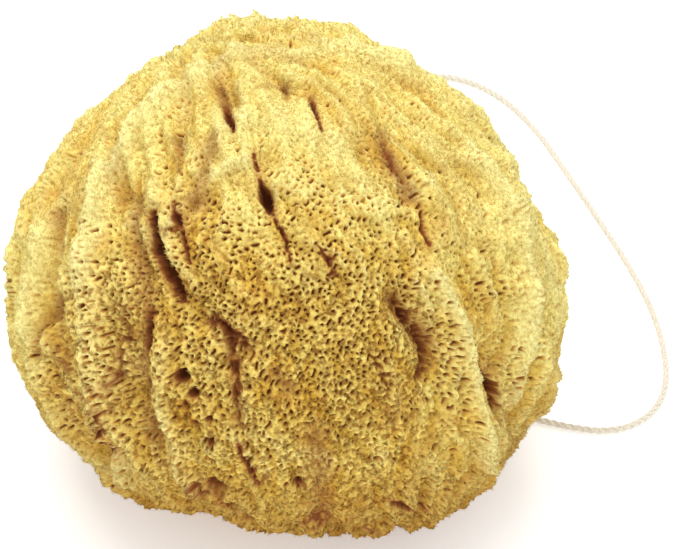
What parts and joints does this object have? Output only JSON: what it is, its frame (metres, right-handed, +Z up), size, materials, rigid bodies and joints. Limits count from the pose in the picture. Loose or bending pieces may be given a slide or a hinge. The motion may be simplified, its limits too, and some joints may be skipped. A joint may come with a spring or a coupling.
{
  "type": "sea sponge",
  "caption": "Round natural bath sponge, folded and porous all over, cut flat underneath, with a loop of twisted cotton string lying beside it.",
  "frame": {"origin": "middle of the sponge's outline on the surface it stands on, at the flat face where it was cut from the rock", "axes": "+Z up from the cut base; +X to the sponge's right, its longest way across; the front faces -Y; the string loop lies to the right and behind, towards +X and +Y"},
  "size_m": [0.1701, 0.2016, 0.118],
  "materials": {
    "sponge": "dry matt golden-yellow sponge fibre, brown in the pores and cracks, paler on the crests",
    "string": "matt off-white twisted cotton"
  },
  "bodies": {
    "root": {"sponge_body": "sponge", "hanging_string": "string"}
  },
  "joints": []
}
